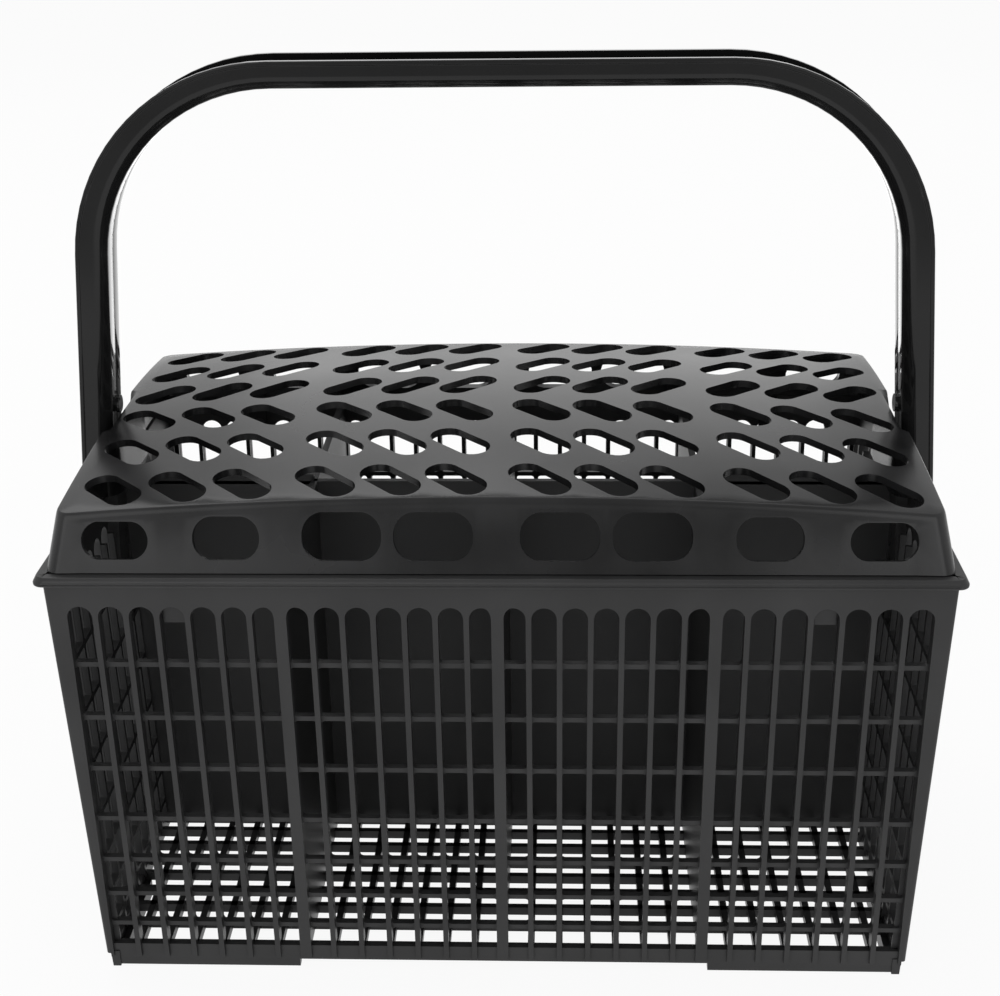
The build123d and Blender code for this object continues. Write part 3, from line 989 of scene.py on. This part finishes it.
def channel_section(sizes):
    """Half of the channel's section: reach from the inner face, share of the way outwards, place in depth."""
    groove_depth, groove_half = 0.00012, 0.00035
    corner_cuts = (0.0008, 0.0014)
    steps = 4
    bead_side = 0.0002
    bead_corner = 0.0003
    fillet = 0.0008
    half = sizes.depth / 2
    flat = half - sizes.bead_rise
    inside = half - sizes.wall
    grip = sizes.grip_reach
    slope = [(0.0, 0.0), (0.0, flat - sizes.grip_depth), (grip, flat), (2 * grip, flat)]
    slope = [Vector(place) for place in slope]
    points = [(groove_depth, 0.0, 0.0), (0.0, 0.0, groove_half)]
    for before, corner, after, cut in zip(slope, slope[1:], slope[2:], corner_cuts):
        first = corner + (before - corner).normalized() * cut
        last = corner + (after - corner).normalized() * cut
        for step in range(steps + 1):
            share = step / steps
            place = first.lerp(corner, share).lerp(corner.lerp(last, share), share)
            points.append((place.x, 0.0, place.y))
    return points + [
        (-sizes.bead - bead_side, 1.0, flat),
        (-sizes.bead, 1.0, half),
        (-bead_corner, 1.0, half),
        (0.0, 1.0, half - bead_corner),
        (0.0, 1.0, inside),
        (sizes.wall + fillet, 0.0, inside),
        (sizes.wall, 0.0, inside - fillet),
        (sizes.wall, 0.0, 0.0),
    ]


def channel(bm, sizes):
    """Right half of the arched channel, pushed from station to station."""
    half_section = channel_section(sizes)
    section = half_section + [(reach, share, -depth) for reach, share, depth in reversed(half_section[1:-1])]
    layer = bm.verts.layers.float_vector.new("section")
    ring = [bm.verts.new() for _ in section]
    for vert, place in zip(ring, section):
        vert[layer] = place
    edges = [bm.edges.new(pair) for pair in zip(ring, ring[1:] + ring[:1])]

    def put(verts, inner, outer):
        inner = Vector((inner[0], 0, inner[1]))
        across = Vector((outer[0], 0, outer[1])) - inner
        for vert in verts:
            reach, share, depth = vert[layer]
            vert.co = inner + across.normalized() * (reach + share * across.length) + Vector((0, depth, 0))

    stations = list(handle_stations(sizes))
    put(ring, *stations[0])
    for station in stations[1:]:
        verts, edges = pushed_edges(bm, edges)
        put(verts, *station)
    bmesh.ops.contextual_create(bm, geom=edges)


def handle_foot(bm, sizes):
    """Rounded block that closes a leg at its lower end."""
    steps = 8
    radius = sizes.foot_round
    high = handle_low.z + radius
    corner = sizes.depth / 2 - radius
    outline = quarter(-corner, high, radius, 2, steps) + quarter(corner, high, radius, 3, steps)
    face = fill_outline(bm, [bm.verts.new((leg_inside(sizes, z), y, z)) for y, z in outline])
    pushed = bmesh.ops.extrude_face_region(bm, geom=[face])
    for vert in new_verts(pushed):
        vert.co.x = handle_high.x


def stud(bm, sizes, height, radius, reach):
    """A short round stud on the inner face of a leg."""
    middle = leg_inside(sizes, height) - reach / 2 + sizes.wall / 4
    place = Matrix.Translation((middle, 0, height)) @ Matrix.Rotation(pi / 2, 4, "Y")
    depth = reach + sizes.wall / 2
    bmesh.ops.create_cone(
        bm, cap_ends=True, segments=24, radius1=radius, radius2=radius, depth=depth, matrix=place
    )


class BASKET_OT_handle(Operator):
    """Build the arched channel handle with its lugs and studs"""

    bl_idname = "cutlery.handle"
    bl_label = "Handle"

    def execute(self, context):
        sizes = context.scene.handle_sizes
        bm = bmesh.new()
        channel(bm, sizes)
        handle_foot(bm, sizes)
        lug_drop, stud_rise = 0.016, 0.0215
        stud(bm, sizes, context.scene.basket_sizes.wall_height - lug_drop, radius=0.0045, reach=0.0028)
        stud(bm, sizes, rim_corner.z + stud_rise, radius=0.0026, reach=0.0012)
        bmesh.ops.mirror(bm, geom=bm.verts[:] + bm.edges[:] + bm.faces[:], axis="X", merge_dist=MERGE)
        bmesh.ops.remove_doubles(bm, verts=bm.verts, dist=MERGE)
        bmesh.ops.recalc_face_normals(bm, faces=bm.faces)
        material = plastic(
            "handle_plastic_dressed", context.scene.basket_finish.handle, unevenness=0.2, roughness=0.11,
            spread=0.03, grain_scale=500.0, grain_depth=0.00001, shine=0.2, coat=0.22,
        )
        finish_piece(bm, "handle", "basket", material, edge=0.00025, steps=2)
        return {"FINISHED"}


# Stage


def pale_background(tree, output_name, lit, pale):
    """Shows a pale shader where the camera, gloss or glass looks at it, and a lit one otherwise."""
    path = new_node(tree, "ShaderNodeLightPath")
    seen = path.outputs["Is Camera Ray"]
    for ray in ("Is Glossy Ray", "Is Transmission Ray"):
        either = new_node(tree, "ShaderNodeMath")
        either.operation = "ADD"
        either.use_clamp = True
        tree.links.new(seen, either.inputs[0])
        tree.links.new(path.outputs[ray], either.inputs[1])
        seen = either.outputs["Value"]
    mix = new_node(tree, "ShaderNodeMixShader")
    tree.links.new(seen, mix.inputs["Fac"])
    tree.links.new(lit, mix.inputs[1])
    tree.links.new(pale, mix.inputs[2])
    tree.links.new(mix.outputs["Shader"], tree.nodes[output_name].inputs["Surface"])


def room_in_front(tree, coordinate, kind, span, dim, pale):
    """Lets gloss see a room that is dimmer in front, along y, in place of a pale shader."""
    place = new_node(tree, "ShaderNodeTexCoord")
    split = new_node(tree, "ShaderNodeSeparateXYZ")
    tree.links.new(place.outputs[coordinate], split.inputs["Vector"])
    depth = new_node(tree, "ShaderNodeMapRange", {"From Min": span[0], "From Max": span[1], "To Min": dim})
    tree.links.new(split.outputs["Y"], depth.inputs["Value"])
    room = new_node(tree, kind)
    tree.links.new(depth.outputs["Result"], room.inputs["Strength"])
    path = new_node(tree, "ShaderNodeLightPath")
    choose = new_node(tree, "ShaderNodeMixShader")
    tree.links.new(path.outputs["Is Glossy Ray"], choose.inputs["Fac"])
    tree.links.new(pale, choose.inputs[1])
    tree.links.new(room.outputs[0], choose.inputs[2])
    return choose.outputs["Shader"]


def studio_floor(stage):
    """Pale floor that is near white to the eye and keeps a faint shadow."""
    bm = bmesh.new()
    bmesh.ops.create_grid(bm, x_segments=1, y_segments=1, size=stage.floor_size / 2)
    mesh = bpy.data.meshes.new("floor")
    bm.to_mesh(mesh)
    bm.free()
    floor = bpy.data.objects.new("floor", mesh)
    bpy.context.scene.collection.objects.link(floor)
    material = bpy.data.materials.new("pale_floor")
    material.use_nodes = True
    tree = material.node_tree
    shader = tree.nodes["Principled BSDF"]
    shader.inputs["Base Color"].default_value = (*stage.floor_colour, 1)
    shader.inputs["Roughness"].default_value = 0.9
    shader.inputs["Specular IOR Level"].default_value = 0.0
    lit = shader.outputs["BSDF"]
    white = new_node(tree, "ShaderNodeEmission", {"Color": WHITE})
    faint = new_node(tree, "ShaderNodeMixShader", {"Fac": 0.93})
    tree.links.new(lit, faint.inputs[1])
    tree.links.new(white.outputs[0], faint.inputs[2])
    seen = faint.outputs["Shader"]
    pale = room_in_front(tree, "Object", white.bl_idname, span=(-0.8, -0.6), dim=stage.room, pale=seen)
    pale_background(tree, "Material Output", lit, pale)
    floor.data.materials.append(material)


def studio_sky(stage):
    """White surroundings with an even light, and a dimmer room in front for gloss to mirror."""
    world = bpy.data.worlds.new("studio")
    bpy.context.scene.world = world
    world.use_nodes = True
    tree = world.node_tree
    sky = tree.nodes["Background"]
    sky.inputs["Color"].default_value = WHITE
    sky.inputs["Strength"].default_value = stage.sky
    white = new_node(tree, sky.bl_idname, {"Color": WHITE})
    seen = white.outputs[0]
    pale = room_in_front(tree, "Generated", white.bl_idname, span=(-1.0, -0.3), dim=stage.room, pale=seen)
    pale_background(tree, "World Output", sky.outputs["Background"], pale)


def soft_light(name, place, target, size, power):
    """A square area light that looks at a point."""
    light = bpy.data.lights.new(name, "AREA")
    light.energy = power
    light.size = size
    lamp = bpy.data.objects.new(name, light)
    lamp.location = place
    lamp.rotation_euler = (Vector(target) - Vector(place)).to_track_quat("-Z", "Y").to_euler()
    bpy.context.scene.collection.objects.link(lamp)


def studio_camera(stage):
    """Camera at the picture's viewing angle."""
    yaw, pitch, roll = stage.camera_yaw, stage.camera_pitch, stage.camera_roll
    right = Vector((cos(yaw), sin(yaw), 0))
    ahead = Vector((-sin(yaw) * cos(pitch), cos(yaw) * cos(pitch), -sin(pitch)))
    down = ahead.cross(right)
    rolled_right = right * cos(roll) + down * sin(roll)
    rolled_down = down * cos(roll) - right * sin(roll)
    data = bpy.data.cameras.new("camera")
    data.sensor_fit = "HORIZONTAL"
    data.lens = stage.lens
    camera = bpy.data.objects.new("camera", data)
    turn = Matrix((rolled_right, -rolled_down, -ahead)).transposed()
    camera.matrix_world = Matrix.Translation(stage.camera_place) @ turn.to_4x4()
    bpy.context.scene.collection.objects.link(camera)
    bpy.context.scene.camera = camera


class BASKET_OT_stage(Operator):
    """Set up the pale floor, the soft light and the camera"""

    bl_idname = "cutlery.stage"
    bl_label = "Stage"

    def execute(self, context):
        stage = context.scene.basket_stage
        studio_floor(stage)
        studio_sky(stage)
        for name, place, target, size, watts in (
            ("key", (-0.3, 0.5, 1.3), (0, 0, 0.1), 1.2, stage.key),
            ("sweep", (0, 0.8, 0.002), (0, 0.8, 1), 0.8, stage.sweep),
            ("back", (0, 1.5, 0.62), (0, 0, 0.16), 0.8, stage.back),
            ("fill_left", (-0.67, -1.2, 0.45), (0, 0, 0.08), 0.8, stage.fill / 2),
            ("fill_right", (0.63, -1.2, 0.45), (0, 0, 0.08), 0.8, stage.fill / 2),
        ):
            soft_light(name, place, target, size, watts)
        studio_camera(stage)
        context.scene.view_settings.view_transform = "Standard"
        return {"FINISHED"}


class BASKET_PT_panel(Panel):
    """Sizes, colours and pieces of the cutlery basket"""

    bl_idname = "BASKET_PT_panel"
    bl_label = "Cutlery Basket"
    bl_space_type = "VIEW_3D"
    bl_region_type = "UI"
    bl_category = "Basket"

    def draw(self, context):
        for operator in OPERATORS:
            self.layout.operator(operator.bl_idname)
        for group in GROUPS:
            settings = getattr(context.scene, group)
            box = self.layout.box()
            for name in settings.__annotations__:
                box.prop(settings, name)


GROUPS = {
    "basket_sizes": BasketSizes,
    "lid_sizes": LidSizes,
    "handle_sizes": HandleSizes,
    "basket_finish": BasketFinish,
    "basket_stage": StageSettings,
}
OPERATORS = (BASKET_OT_basket, BASKET_OT_lid, BASKET_OT_handle, BASKET_OT_stage)


def register():
    for name, group in GROUPS.items():
        bpy.utils.register_class(group)
        setattr(bpy.types.Scene, name, PointerProperty(type=group))
    for kind in (*OPERATORS, BASKET_PT_panel):
        bpy.utils.register_class(kind)


def unregister():
    for kind in reversed((*OPERATORS, BASKET_PT_panel)):
        bpy.utils.unregister_class(kind)
    for name, group in reversed(GROUPS.items()):
        delattr(bpy.types.Scene, name)
        bpy.utils.unregister_class(group)


def main():
    """Builds every piece and the stage."""
    register()
    bpy.ops.cutlery.basket()
    bpy.ops.cutlery.lid()
    bpy.ops.cutlery.handle()
    bpy.ops.cutlery.stage()


if __name__ == "__main__":
    main()
